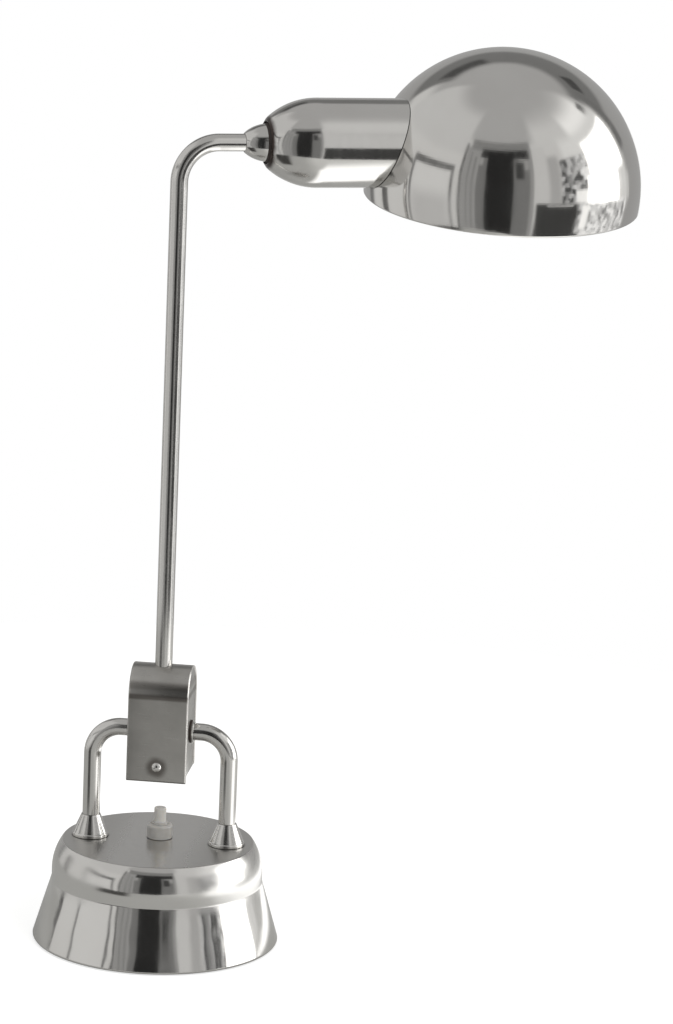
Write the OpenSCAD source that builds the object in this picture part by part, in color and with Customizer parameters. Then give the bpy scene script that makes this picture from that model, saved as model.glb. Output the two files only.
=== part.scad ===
// Desk lamp: a flared metal base with a push switch, a tube bail on two bell feet,
// a folded sheet bracket that tilts on the bail, a bent rod, and a domed shade with its socket housing.
// Millimetres, +Z up. The origin is under the felt, on the base's axis. The bail's axis runs along X.

/* [Base] */
// Height of the base's flat top
base_h = 59; // [50:1:75]
// Radius of the bottom edge
base_r = 71.5; // [66:0.5:85]
// Radius of the flat top, which ends in a clear edge
top_r = 55.5; // [54:0.1:57]
// Radius of the upright wall under the shoulder
shoulder_r = 61.3; // [60:0.1:63]
// Radius of the shoulder's long curve, seen from the side
shoulder_round = 30; // [26:0.5:36]
// Height of the upright wall between the shoulder and the crease
wall_h = 4.4; // [3:0.1:6]
// Radius of the crease between wall and skirt
waist_blend = 5; // [4:0.5:12]
// Sheet thickness of the base shell
shell_wall = 1.2; // [0.8:0.1:2]
// Width of the hem turned in at the bottom edge
hem_w = 4; // [3:0.5:6]

/* [Base inside] */
// Radius of the iron weight
weight_r = 55; // [53:0.5:56]
// Height of the iron weight
weight_h = 30; // [26:1:32]
// Radius of the weight's middle hole
weight_bore_r = 17; // [15.5:0.5:20]
// Iron left above the pockets of the leg nuts
weight_web = 12; // [8:1:14]
// Radius of the circle of the plate's posts
post_circle_r = 45; // [40:1:48]
// Radius of a post
post_r = 6; // [5:0.5:7]
// Number of posts and plate screws
post_count = 3; // [3:1:6]
// Thickness of the bottom plate
plate_t = 2; // [1.5:0.1:3]
// Thickness of the felt
felt_t = 1.5; // [1:0.1:3]

/* [Switch] */
// Radius of the switch's ring nut
ring_r = 7.4; // [7:0.1:9]
// Height of the ring nut
ring_h = 9.5; // [8:0.5:14]
// Radius of the button
button_r = 3.5; // [2.5:0.1:4]
// How far the button stands out of the ring nut
button_h = 8.7; // [6:0.1:12]
// Travel of the button
button_travel = 3; // [2:0.25:4]
// Radius of the switch's body under the top
switch_r = 14; // [12:0.5:15]
// Depth of the switch's body
switch_h = 26; // [24:1:30]
// How far the switch sits behind the base's axis
switch_y = 5; // [0:0.5:6]

/* [Bail] */
// Outer diameter of every tube
tube_d = 10; // [9:0.5:11]
// Wall of every tube
tube_wall = 1; // [0.8:0.1:1.5]
// Distance of each leg from the middle
foot_x = 40; // [36:0.5:42]
// Height of the bail's axis above the base's top
bail_rise = 66.5; // [60:0.5:80]
// Bend radius of the bail, at the tube's middle
bail_bend = 16.5; // [12:0.5:17]
// Height of a bell foot
foot_h = 13; // [10:0.5:18]
// Radius of a bell foot at the bottom
foot_r = 10.6; // [9:0.1:11]

/* [Bracket] */
// Width of the bracket along the bail
bracket_w = 35; // [32:0.5:36]
// Depth of the bracket, and twice the outer radius of its top bend
bracket_d = 33; // [30:0.5:36]
// Height of the bracket's top above the bail's axis
bracket_rise = 39; // [38:0.5:45]
// How far the front leg reaches below the bail's axis
front_drop = 27.3; // [24:0.1:32]
// How far the back leg and the cheeks reach below it
back_drop = 24; // [20:0.5:24]
// Sheet thickness of the bracket
sheet = 1.2; // [0.8:0.1:1.5]
// How far the cheeks stand in from the cover's edges
cheek_inset = 0.6; // [0.3:0.1:1]
// Height of the front screw above the front leg's end
screw_up = 8.8; // [6:0.2:12]

/* [Arm] */
// Height of the horizontal arm's axis
arm_z = 466.5; // [400:0.5:560]
// Bend radius of the rod, at the tube's middle
arm_bend = 22.5; // [18:0.5:30]
// Turn of the arm about the upright rod, from the bail's axis
arm_turn = 23; // [-45:1:45]
// Distance from the rod's axis to the arm's bell
bell_a = 37; // [32:0.5:60]
// Length of the arm's bell
bell_h = 11.6; // [9:0.2:16]
// Radius of the bell's wide end
bell_r = 10.7; // [9:0.1:12]

/* [Head] */
// Radius of the socket housing
housing_r = 25.5; // [24.5:0.5:28]
// Radius of the nose's bulging profile
nose_curve = 43; // [38:1:50]
// Length of the nose
nose_l = 28; // [24:0.5:30]
// Sheet thickness of the housing
housing_wall = 1; // [0.6:0.1:1.5]
// Outer radius of the domed shade
shade_r = 80; // [76:1:90]
// Sheet thickness of the shade
shade_wall = 0.8; // [0.6:0.1:1.2]
// How far the shade reaches below its widest line
shade_skirt = 8.5; // [4:0.5:16]
// Distance from the rod's axis to the shade's middle
shade_a = 192.5; // [188:0.5:210]
// How far the shade's middle lies below the housing's axis
shade_drop = 25.4; // [22:0.2:27]
// Turn of the housing and shade about the arm's axis
head_turn = 7; // [-30:1:30]

/* [Fits] */
// Gap round a shaft that turns or slides
running = 0.05; // [0.02:0.01:0.1]
// Gap at a face that turns against another
side_gap = 0.1; // [0.05:0.05:0.3]

/* [Hidden] */
$fn = 96;

// Colours
chrome = "#c4c6c8";
satin = "#8b8c8a";
iron = "#4a4744";
zinc = "#a9abab";
brass = "#c0a060";
white_plastic = "#e9e8e2";
dark_rubber = "#1d1c1b";
brown_fibre = "#3b2a22";
felt_green = "#2f4a38";
porcelain = "#efece4";
opal_glass = "#f0efe8";

// Small standard sizes
edge_z = 1.7;
hem_z = 0.7;
hem_round = 1;
tube_r = tube_d / 2;
bore_r = tube_r - tube_wall;
pass_r = tube_r + running;
nut_af = 14;
lock_nut_af = 17;
thin_nut = 3.6;
thick_nut = 6;
washer_t = 1;
leg_washer_t = 1.5;
pivot_washer_r = 6.65;
pivot_washer_t = 0.8;
ring_nut_r = 6.1;
ring_nut_t = 1.4;
leg_washer_r = 10;
pocket_r = leg_washer_r + 1;
thread_tail = 2;
lead_r = bore_r - 0.7;
m4_r = 2;
m4_head_r = 3.8;
m4_head_h = 1.8;
m4_l = 14;
m3_r = 1.5;
m3_head_r = 2.9;
m3_head_h = 1.6;
m3_nut_af = 5.5;
m3_nut_t = 2.4;
close_gap = 0.05;

// Places worked out from the sizes above
top_in_z = base_h - shell_wall;
shoulder_span = acos(1 - (shoulder_r - top_r) / shoulder_round);
wall_top_z = base_h - shoulder_round * sin(shoulder_span);
waist_z = wall_top_z - wall_h;
blend_middle = [shoulder_r + waist_blend, waist_z];
blend_way = blend_middle - [base_r, edge_z];
flare_angle = atan2(blend_way[1], blend_way[0]) + asin(waist_blend / norm(blend_way)) - 90;
skirt_slope = tan(flare_angle);
plate_top_z = felt_t + plate_t;
plate_r = base_r - hem_w - 0.2;
weight_z = top_in_z - weight_h;
pocket_z = top_in_z - weight_web;
leg_end_z = pocket_z - leg_washer_t - thick_nut - thread_tail;
pivot_z = base_h + bail_rise;
cheek_out = bracket_w / 2 - cheek_inset;
cheek_in = cheek_out - sheet;
tube_end_x = cheek_in - side_gap - washer_t - thin_nut - thread_tail;
bend_r = bracket_d / 2;
bracket_top_z = pivot_z + bracket_rise;
bend_z = bracket_top_z - bend_r;
cover_in = bend_r - sheet;
frame_r = cover_in - close_gap;
block_r = frame_r;
block_floor_z = bend_z;
collar_t = 3;
collar_r = 8;
collar_z = block_floor_z + 9;
swivel_nut_z = block_floor_z - side_gap - washer_t - thick_nut;
rod_end_z = swivel_nut_z - thread_tail;

// Grommet of the cord's entry: turned towards the back, and a little way up the shoulder's curve
grommet_turn = 17;
grommet_lift = 7.5;
grommet_place_r = shoulder_r - shoulder_round * (1 - cos(grommet_lift));
grommet_z = wall_top_z + shoulder_round * sin(grommet_lift);
grommet_flange_r = 4;
grommet_neck_r = 3.4;
grommet_bore_r = 2.8;
grommet_out = 2;
grommet_in = shell_wall + 1.9;
grommet_in_gap = 0.5;

// Places along the arm, counted from the rod's axis
bell_end_a = bell_a + bell_h;
gasket_t = 2.7;
nose_a = bell_end_a + gasket_t + side_gap;
nose_round = 1;
nose_end_r = 15;
nose_full_a = nose_a + nose_l;
nose_in_a = nose_a + housing_wall;
head_nut_a = nose_in_a + side_gap + washer_t;
arm_end_a = head_nut_a + thin_nut + 9;
holder_a = head_nut_a + thin_nut + 0.3;
cap_l = 18;
holder_r = 19.8;
holder_wall = 5;
body_a = holder_a + cap_l;
body_l = 37;
insert_l = 10;
thread_a = body_a + insert_l;
thread_l = 25;
thread_r = 13.3;
thread_pitch = 3.6;
thread_depth = 0.5;
contact_h = 3;
bulb_a = thread_a + contact_h + 0.1;
bulb_cap_l = 25;
bulb_cap_r = 12.9;
bulb_r = 30;
bulb_l = 105;
bulb_wall = 0.8;
collar_in_r = housing_r - housing_wall - close_gap;
collar_wall = 0.8;
collar_reach = 2.5;
collar_back = 10;
collar_l = 50;
shade_in_r = shade_r - shade_wall;
shade_hem = 3;

// Switch heights
neck_r = 5.4;
neck_top_z = base_h + ring_h - 2;
switch_floor_z = top_in_z - switch_h;
cavity_r = 8;
cavity_floor_z = switch_floor_z + 3;
cavity_top_z = top_in_z - 5;
button_flange_t = 2;
button_flange_r = 5.6;
button_flange_z = cavity_top_z - side_gap - button_flange_t;
button_top_z = base_h + ring_h + button_h;
collar_neck_h = 1.2;
collar_neck_r = 4.7;
spring_r = 4.8;
spring_wire_r = 0.4;
spring_turns = 5;

// Points of an arc about the point c, from angle a0 to angle a1, in n steps
function arc(c, r, a0, a1, n) =
  [for (i = [0:n]) c + r * [cos(a0 + (a1 - a0) * i / n), sin(a0 + (a1 - a0) * i / n)]];

// The same list, last point first
function backwards(list) = [for (i = [len(list) - 1:-1:0]) list[i]];

// Radius of the skirt's outside at the height z
function skirt_r(z) = base_r - (z - edge_z) * skirt_slope;

// The angle at which the shoulder's curve, moved in by o, meets the flat top
function top_edge_angle(o) = asin((base_h - o - wall_top_z) / (shoulder_round - o));

// The base's outline from the top's middle to the height z_end, moved in by o
function base_outline(o, z_end) = concat(
  [[0, base_h - o]],
  arc([shoulder_r - shoulder_round, wall_top_z], shoulder_round - o, top_edge_angle(o), 0, 10),
  arc(blend_middle, waist_blend + o, 180, 180 + flare_angle, 6),
  [[skirt_r(z_end) - o / cos(flare_angle), z_end]]
);

// Radius of the nose's outside at the distance a along the arm
function nose_r(a) = housing_r - nose_curve + sqrt(nose_curve ^ 2 - (nose_full_a - a) ^ 2);

// Frames: at the horizontal arm, and at the head, with the arm's axis along X
module at_arm() {
  translate([0, 0, arm_z]) rotate([0, 0, arm_turn]) children();
}

module at_head() {
  at_arm() rotate([head_turn, 0, 0]) children();
}

// Stands what is modelled upright along the arm's axis
module along_arm(a = 0) {
  translate([a, 0, 0]) rotate([0, 90, 0]) children();
}

// The left and the right side
module each_side() {
  for (side = [0, 1]) mirror([side, 0, 0]) children();
}

// A ring with a square section
module ring(r_out, r_in, h) {
  difference() {
    cylinder(r = r_out, h = h);
    translate([0, 0, -1]) cylinder(r = r_in, h = h + 2);
  }
}

// A hexagon nut, with the size across its flats, its corners cut by a cone
module hex_nut(flats, r_in, h) {
  corner_r = flats / sqrt(3);
  difference() {
    intersection() {
      cylinder(r = corner_r, h = h, $fn = 6);
      union() {
        cylinder(r1 = corner_r - h * 0.2, r2 = corner_r, h = h * 0.2);
        translate([0, 0, h * 0.2]) cylinder(r = corner_r, h = h * 0.6);
        translate([0, 0, h * 0.8]) cylinder(r1 = corner_r, r2 = corner_r - h * 0.2, h = h * 0.2);
      }
    }
    translate([0, 0, -1]) cylinder(r = r_in, h = h + 2);
  }
}

// A rod of radius r: up from z0, round a bend of radius bend at the height z1, then out along +X to x1
module bent_rod(r, z0, z1, bend, x1) {
  translate([0, 0, z0]) cylinder(r = r, h = z1 - bend - z0);
  translate([bend, 0, z1 - bend]) rotate([90, 0, 0]) rotate_extrude(angle = 90, start = 90)
    translate([bend, 0]) circle(r = r);
  translate([bend, 0, z1]) rotate([0, 90, 0]) cylinder(r = r, h = x1 - bend);
}

// A bent tube, open at both ends
module bent_tube(z0, z1, bend, x1) {
  difference() {
    bent_rod(tube_r, z0, z1, bend, x1);
    bent_rod(bore_r, z0 - 1, z1, bend, x1 + 1);
  }
}

// A turned bell foot: a short rim, a rounded shoulder and a slim cone, bored for the tube
module bell_foot() {
  rim_h = 1.4;
  shoulder = 1.2;
  difference() {
    rotate_extrude() polygon(concat(
      [[0, 0], [foot_r - 0.3, 0], [foot_r, 0.3], [foot_r, rim_h]],
      arc([foot_r - shoulder, rim_h], shoulder, 0, 55, 4),
      [[tube_r + 0.7, foot_h - 0.4], [tube_r + 0.5, foot_h], [0, foot_h]]
    ));
    translate([0, 0, -1]) cylinder(r = pass_r, h = foot_h + 2);
  }
}

// A pressed screw shell, rippled like a lamp thread, from radius r inwards
module rippled_sleeve(r, h, wall) {
  turns = floor(h / thread_pitch);
  outside = [for (i = [0:turns * 4]) [r - thread_depth * (1 - cos(i * 90)) / 2, i * thread_pitch / 4]];
  inside = [for (p = outside) [p[0] - wall, p[1]]];
  rotate_extrude() polygon(concat(outside, backwards(inside)));
}

// A wire coil of round turns, standing on z = 0, swept as one closed skin
module coil(r, wire_r, turns, h) {
  sides = 6;
  steps = 14;
  rings = turns * steps;
  rise = (h - 2 * wire_r) / rings;
  points = [for (i = [0:rings], j = [0:sides - 1])
    let (turn = i * 360 / steps, side = j * 360 / sides, out = r + wire_r * cos(side))
    [out * cos(turn), out * sin(turn), wire_r + i * rise + wire_r * sin(side)]];
  walls = [for (i = [0:rings - 1], j = [0:sides - 1])
    let (a = i * sides + j, b = i * sides + (j + 1) % sides)
    [a, a + sides, b + sides, b]];
  ends = [[for (j = [0:sides - 1]) j], [for (j = [sides - 1:-1:0]) rings * sides + j]];
  polyhedron(points = points, faces = concat(walls, ends), convexity = 8);
}

// The posts' places round the base
module at_posts() {
  for (i = [0:post_count - 1]) rotate([0, 0, 90 + i * 360 / post_count]) translate([post_circle_r, 0, 0]) children();
}

// Base

module base_shell() {
  color(chrome) difference() {
    rotate_extrude() polygon(concat(
      base_outline(0, edge_z),
      arc([skirt_r(edge_z) - hem_round, hem_z + hem_round], hem_round, 0, -90, 4),
      [[base_r - hem_w, hem_z], [base_r - hem_w, hem_z + shell_wall]],
      backwards(base_outline(shell_wall, hem_z + shell_wall))
    ));
    each_side() translate([foot_x, 0, top_in_z - 1]) cylinder(r = pass_r, h = shell_wall + 2);
    at_switch() translate([0, 0, top_in_z - 1]) cylinder(r = neck_r + close_gap, h = shell_wall + 2);
    at_grommet() translate([0, 0, -grommet_in - 2]) cylinder(r = grommet_neck_r + close_gap, h = grommet_in + 4);
  }
}

// The cord's entry, on the side away from the lamp's head, square to the shoulder's curve
module at_grommet() {
  rotate([0, 0, -grommet_turn]) translate([-grommet_place_r, 0, grommet_z])
    rotate([0, grommet_lift - 90, 0]) children();
}

module cord_grommet() {
  color(dark_rubber) at_grommet() difference() {
    union() {
      translate([0, 0, close_gap]) cylinder(r = grommet_flange_r, h = grommet_out - 0.8);
      translate([0, 0, grommet_out - 0.8 + close_gap])
        cylinder(r1 = grommet_flange_r, r2 = grommet_flange_r - 0.8, h = 0.8);
      translate([0, 0, -grommet_in]) cylinder(r = grommet_neck_r, h = grommet_in + 1);
      translate([0, 0, -grommet_in]) cylinder(r = grommet_flange_r, h = grommet_in - shell_wall - grommet_in_gap);
    }
    translate([0, 0, -grommet_in - 1]) cylinder(r = grommet_bore_r, h = grommet_in + grommet_out + 2);
  }
}

module base_weight() {
  chamfer = 4;
  color(iron) difference() {
    union() {
      translate([0, 0, weight_z]) cylinder(r = weight_r, h = weight_h - chamfer);
      translate([0, 0, top_in_z - chamfer]) cylinder(r1 = weight_r, r2 = weight_r - chamfer, h = chamfer);
      at_posts() translate([0, 0, plate_top_z]) cylinder(r = post_r, h = weight_z - plate_top_z + 1);
    }
    at_switch() translate([0, 0, weight_z - 1]) cylinder(r = weight_bore_r, h = weight_h + 2);
    each_side() translate([foot_x, 0, 0]) {
      translate([0, 0, weight_z - 1]) cylinder(r = pocket_r, h = pocket_z - weight_z + 1);
      translate([0, 0, weight_z - 1]) cylinder(r = pass_r, h = weight_h + 2);
    }
    at_posts() translate([0, 0, plate_top_z - 1]) cylinder(r = m4_r + running, h = m4_l + 1);
  }
}

module base_plate() {
  color(zinc) difference() {
    translate([0, 0, felt_t]) cylinder(r = plate_r, h = plate_t);
    at_posts() {
      translate([0, 0, felt_t - 1]) cylinder(r = m4_r + running, h = plate_t + 2);
      translate([0, 0, felt_t]) cylinder(r1 = m4_head_r + running, r2 = m4_r + running, h = m4_head_h);
    }
  }
}

module plate_screws() {
  color(zinc) at_posts() translate([0, 0, felt_t]) {
    cylinder(r1 = m4_head_r, r2 = m4_r, h = m4_head_h);
    cylinder(r = m4_r, h = m4_l);
  }
}

module felt_pad() {
  color(felt_green) cylinder(r = plate_r - 1, h = felt_t);
}

// Feet and bail

module foot_right() {
  color(chrome) translate([foot_x, 0, base_h]) bell_foot();
}

module foot_left() {
  color(chrome) translate([-foot_x, 0, base_h]) bell_foot();
}

// One half of the bail: up through the base's top, and in through the bracket's cheek
module bail_half() {
  translate([foot_x, 0, 0]) mirror([1, 0, 0])
    bent_tube(leg_end_z, pivot_z, bail_bend, foot_x - tube_end_x);
}

module bail_right() {
  color(chrome) bail_half();
}

module bail_left() {
  color(chrome) mirror([1, 0, 0]) bail_half();
}

module leg_washers() {
  color(zinc) each_side() translate([foot_x, 0, pocket_z - leg_washer_t]) ring(leg_washer_r, pass_r, leg_washer_t);
}

module leg_nuts() {
  color(zinc) each_side() translate([foot_x, 0, pocket_z - leg_washer_t - thick_nut])
    hex_nut(lock_nut_af, pass_r, thick_nut);
}

// The two-core lead: from the switch, under the weight, and up through the left half of the bail
module base_lead() {
  run_z = (weight_z + plate_top_z) / 2;
  turn = 8;
  start_x = 6;
  color(dark_rubber) mirror([1, 0, 0]) {
    translate([start_x, 0, run_z + turn]) cylinder(r = lead_r, h = switch_floor_z - run_z - turn);
    translate([start_x + turn, 0, run_z + turn]) rotate([90, 0, 0]) rotate_extrude(angle = 90, start = 180)
      translate([turn, 0]) circle(r = lead_r);
    translate([start_x + turn, 0, run_z]) rotate([0, 90, 0])
      cylinder(r = lead_r, h = foot_x - start_x - 2 * turn);
    translate([foot_x - turn, 0, run_z + turn]) rotate([90, 0, 0]) rotate_extrude(angle = 90, start = 270)
      translate([turn, 0]) circle(r = lead_r);
    translate([foot_x, 0, 0]) mirror([1, 0, 0])
      bent_rod(lead_r, run_z + turn, pivot_z, bail_bend, foot_x - tube_end_x);
  }
}

// Pivot: on each side a fibre washer and a thin ring nut outside the cheek, a wave spring and a locknut inside it

module at_pivot(x) {
  translate([x, 0, pivot_z]) rotate([0, 90, 0]) children();
}

module pivot_washers() {
  color(brown_fibre) each_side() at_pivot(cheek_out + side_gap) ring(pivot_washer_r, pass_r, pivot_washer_t);
}

module pivot_nuts() {
  color(chrome) each_side() at_pivot(cheek_out + side_gap + pivot_washer_t) ring(ring_nut_r, pass_r, ring_nut_t);
}

module pivot_springs() {
  color(zinc) each_side() at_pivot(cheek_in - side_gap - washer_t) ring(nut_af / 2, pass_r, washer_t);
}

module pivot_locknuts() {
  color(zinc) each_side() at_pivot(cheek_in - side_gap - washer_t - thin_nut) hex_nut(nut_af, pass_r, thin_nut);
}

// Switch

module at_switch() {
  translate([0, switch_y, 0]) children();
}

module switch_body() {
  button_bore_r = button_r + running;
  color(white_plastic) at_switch() difference() {
    union() {
      translate([0, 0, switch_floor_z]) cylinder(r = switch_r, h = switch_h);
      translate([0, 0, top_in_z - 1]) cylinder(r = neck_r, h = neck_top_z - top_in_z + 1);
    }
    translate([0, 0, cavity_floor_z]) cylinder(r = cavity_r, h = cavity_top_z - cavity_floor_z);
    translate([0, 0, cavity_top_z - 1]) cylinder(r = button_bore_r, h = neck_top_z - cavity_top_z + 2);
  }
}

module switch_ring_nut() {
  shoulder = 1.6;
  top = ring_h - collar_neck_h;
  color(white_plastic) at_switch() translate([0, 0, base_h]) difference() {
    rotate_extrude() polygon(concat(
      [[0, 0], [ring_r - 0.3, 0], [ring_r, 0.4]],
      arc([ring_r - shoulder, top - shoulder], shoulder, 0, 90, 6),
      [[collar_neck_r, top], [collar_neck_r, ring_h - 0.4], [collar_neck_r - 0.4, ring_h], [0, ring_h]]
    ));
    translate([0, 0, -1]) cylinder(r = neck_r + close_gap, h = neck_top_z - base_h + 1 + close_gap);
    cylinder(r = button_r + running, h = ring_h + 1);
  }
}

module switch_button() {
  tip = 0.8;
  spigot_z = button_flange_z - 3;
  color(white_plastic) at_switch() rotate_extrude() polygon(concat(
    [[0, spigot_z], [button_r, spigot_z], [button_r, button_flange_z]],
    [[button_flange_r, button_flange_z], [button_flange_r, button_flange_z + button_flange_t]],
    [[button_r, button_flange_z + button_flange_t]],
    arc([button_r - tip, button_top_z - tip], tip, 0, 90, 5),
    [[0, button_top_z]]
  ));
}

module switch_spring() {
  color(zinc) at_switch() translate([0, 0, cavity_floor_z + close_gap])
    coil(spring_r, spring_wire_r, spring_turns, button_flange_z - cavity_floor_z - 2 * close_gap);
}

// Bracket

// Side outline of the bracket: a round top of radius r, an open foot down to the height z0
module bracket_side(r, z0) {
  translate([0, bend_z]) circle(r = r);
  translate([-r, z0]) square([2 * r, bend_z - z0]);
}

// Extrudes a side outline, drawn as depth and height, across the width w
module across(w) {
  translate([-w / 2, 0, 0]) rotate([90, 0, 90]) linear_extrude(height = w) children();
}

module bracket_cover() {
  front_z = pivot_z - front_drop;
  back_z = pivot_z - back_drop;
  color(satin) difference() {
    across(bracket_w) difference() {
      union() {
        bracket_side(bend_r, back_z);
        translate([-bend_r, front_z]) square([sheet, bend_z - front_z]);
      }
      bracket_side(cover_in, front_z - 1);
    }
    translate([0, 0, bend_z]) cylinder(r = pass_r, h = bend_r + 1);
    at_bracket_screw() translate([0, 0, -1]) cylinder(r = m3_r + running, h = sheet + 2);
  }
}

// The front screw's place: its axis points out of the front, z = 0 at the cover's inner face
module at_bracket_screw() {
  translate([0, -cover_in, pivot_z - front_drop + screw_up]) rotate([90, 0, 0]) children();
}

// Two cheeks and the front web that joins them, folded from one sheet
module bracket_frame() {
  web_top_z = bend_z - 2;
  cheek_z = pivot_z - back_drop;
  color(satin) difference() {
    union() {
      each_side() translate([cheek_in + sheet / 2, 0, 0]) across(sheet) bracket_side(frame_r, cheek_z);
      translate([-cheek_out + sheet / 2, -frame_r, cheek_z]) cube([2 * cheek_out - sheet, sheet, web_top_z - cheek_z]);
    }
    at_pivot(-bracket_w) cylinder(r = pass_r, h = 2 * bracket_w);
    at_bracket_screw() translate([0, 0, -sheet - 1]) cylinder(r = m3_r + running, h = sheet + 2);
  }
}

module swivel_block() {
  color(zinc) difference() {
    across(2 * (cheek_in - close_gap)) intersection() {
      translate([0, bend_z]) circle(r = block_r);
      translate([-block_r, block_floor_z]) square([2 * block_r, block_r + 1]);
    }
    translate([0, 0, block_floor_z - 1]) cylinder(r = pass_r, h = block_r + 3);
    translate([0, 0, collar_z - side_gap]) cylinder(r = collar_r + 0.3, h = block_r);
  }
}

module bracket_screw() {
  dome_r = (m3_head_r ^ 2 + m3_head_h ^ 2) / (2 * m3_head_h);
  color(chrome) at_bracket_screw() {
    translate([0, 0, sheet]) intersection() {
      translate([0, 0, m3_head_h - dome_r]) sphere(r = dome_r);
      cylinder(r = m3_head_r + 1, h = m3_head_h);
    }
    translate([0, 0, -sheet - m3_nut_t - 1]) cylinder(r = m3_r, h = 2 * sheet + m3_nut_t + 1.2);
  }
}

module bracket_nut() {
  color(zinc) at_bracket_screw() translate([0, 0, -sheet - close_gap - m3_nut_t])
    hex_nut(m3_nut_af, m3_r + running, m3_nut_t);
}

// Arm

module arm_tube() {
  color(chrome) rotate([0, 0, arm_turn]) bent_tube(rod_end_z, arm_z, arm_bend, arm_end_a);
}

module arm_lead() {
  color(dark_rubber) rotate([0, 0, arm_turn]) bent_rod(lead_r, rod_end_z, arm_z, arm_bend, arm_end_a + 4);
}

module swivel_collar() {
  color(zinc) translate([0, 0, collar_z]) ring(collar_r, pass_r, collar_t);
}

module swivel_washer() {
  color(brown_fibre) translate([0, 0, block_floor_z - side_gap - washer_t]) ring(nut_af / 2 + 0.6, pass_r, washer_t);
}

module swivel_nut() {
  color(zinc) translate([0, 0, swivel_nut_z]) hex_nut(nut_af, pass_r, thick_nut);
}

// The bell at the end of the arm, bulging between its two ends
module arm_bell() {
  small_r = tube_r + 0.5;
  curve = 21;
  rise = bell_r - small_r;
  chord = sqrt(bell_h ^ 2 + rise ^ 2);
  lean = atan2(bell_h, rise);
  half = asin(chord / 2 / curve);
  middle = [small_r + rise / 2, bell_h / 2] - sqrt(curve ^ 2 - chord ^ 2 / 4) * [sin(lean), -cos(lean)];
  color(chrome) at_arm() along_arm(bell_a) difference() {
    rotate_extrude() polygon(concat(
      [[0, 0]],
      arc(middle, curve, lean - 90 - half, lean - 90 + half, 8),
      [[0, bell_h]]
    ));
    translate([0, 0, -1]) cylinder(r = pass_r, h = bell_h + 2);
  }
}

module head_gasket() {
  color(brown_fibre) at_arm() along_arm(bell_end_a) difference() {
    cylinder(r1 = bell_r - 0.2, r2 = nose_end_r, h = gasket_t);
    translate([0, 0, -1]) cylinder(r = pass_r, h = gasket_t + 2);
  }
}

module head_washer() {
  color(brown_fibre) at_arm() along_arm(nose_in_a + side_gap) ring(nut_af / 2 + 1.5, pass_r, washer_t);
}

module head_nut() {
  color(zinc) at_arm() along_arm(head_nut_a) hex_nut(nut_af, pass_r, thin_nut);
}

// Lamp holder, screwed on the end of the arm

module holder_cap() {
  neck = 7;
  wall = 2.5;
  color(dark_rubber) at_arm() along_arm(holder_a) difference() {
    rotate_extrude() polygon(concat(
      [[0, 0], [neck + 1.5, 0], [neck + 2, 0.5], [neck + 2, 3]],
      arc([holder_r - 9, cap_l - 4], 9, -60, 0, 6),
      [[holder_r, cap_l], [0, cap_l]]
    ));
    translate([0, 0, -1]) cylinder(r = pass_r, h = neck + 2);
    translate([0, 0, neck]) cylinder(r1 = holder_r - 9, r2 = holder_r - wall - 1, h = 5);
    translate([0, 0, neck + 4.9]) cylinder(r = holder_r - wall - 1, h = cap_l);
  }
}

module holder_body() {
  color(dark_rubber) at_arm() along_arm(body_a) difference() {
    union() {
      cylinder(r = holder_r, h = body_l - 1);
      translate([0, 0, body_l - 1]) cylinder(r1 = holder_r, r2 = holder_r - 1, h = 1);
      for (i = [0:5]) translate([0, 0, 3 + i * 2.6]) cylinder(r = holder_r + 0.5, h = 1.3);
    }
    translate([0, 0, -1]) cylinder(r = holder_r - holder_wall, h = body_l + 2);
  }
}

module holder_insert() {
  foot_slot = 3;
  color(porcelain) at_arm() along_arm(body_a) difference() {
    cylinder(r = holder_r - holder_wall - close_gap, h = insert_l);
    for (side = [-1, 1]) translate([0, side * 8, -1]) cylinder(r = foot_slot / 2, h = insert_l + 2);
  }
}

module holder_thread() {
  color(brass) at_arm() along_arm(thread_a) rippled_sleeve(thread_r + 1.2, thread_l, 0.4);
}

// A sprung tongue that meets the bulb's tip
module holder_contact() {
  color(brass) at_arm() along_arm(thread_a) {
    translate([-7, -2.5, 0]) cube([9, 5, 0.5]);
    translate([1.5, -2.5, 0]) cube([0.5, 5, contact_h]);
    translate([-3, -2.5, contact_h - 0.5]) cube([5, 5, 0.5]);
  }
}

// Bulb

module bulb_cap() {
  plain_l = 6;
  tip_h = 1.5;
  cone_h = 3;
  cap_wall = 1.2;
  color(zinc) at_arm() along_arm(bulb_a) difference() {
    union() {
      cylinder(r = 4, h = tip_h);
      translate([0, 0, tip_h - 0.1]) cylinder(r1 = 4.5, r2 = bulb_cap_r - 1, h = cone_h);
      translate([0, 0, tip_h + cone_h - 0.2]) rippled_plug(bulb_cap_r, bulb_cap_l - tip_h - cone_h - plain_l);
      translate([0, 0, bulb_cap_l - plain_l - 1]) cylinder(r = bulb_cap_r - 0.2, h = plain_l + 1);
    }
    translate([0, 0, tip_h + cone_h]) cylinder(r = bulb_cap_r - thread_depth - cap_wall, h = bulb_cap_l);
  }
}

// A solid plug with the lamp thread's ripples
module rippled_plug(r, h) {
  turns = floor(h / thread_pitch);
  rotate_extrude() polygon(concat(
    [[0, 0]],
    [for (i = [0:turns * 4]) [r - thread_depth * (1 - cos(i * 90)) / 2, i * thread_pitch / 4]],
    [[r - 1, turns * thread_pitch], [r - 1, h], [0, h]]
  ));
}

// Outline of the glass, moved in by o: a neck, a widening throat and a round end
function bulb_outline(o) = let (
    neck_r = bulb_cap_r - 0.6,
    middle = bulb_l - bulb_cap_l - bulb_r,
    throat_curve = 70,
    throat_angle = 19,
    shoulder_angle = 28
  ) concat(
    [[neck_r - o, 0]],
    arc([neck_r + throat_curve, 2], throat_curve + o, 180, 180 - throat_angle, 5),
    arc([0, middle], bulb_r - o, -shoulder_angle, 90, 20)
  );

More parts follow.
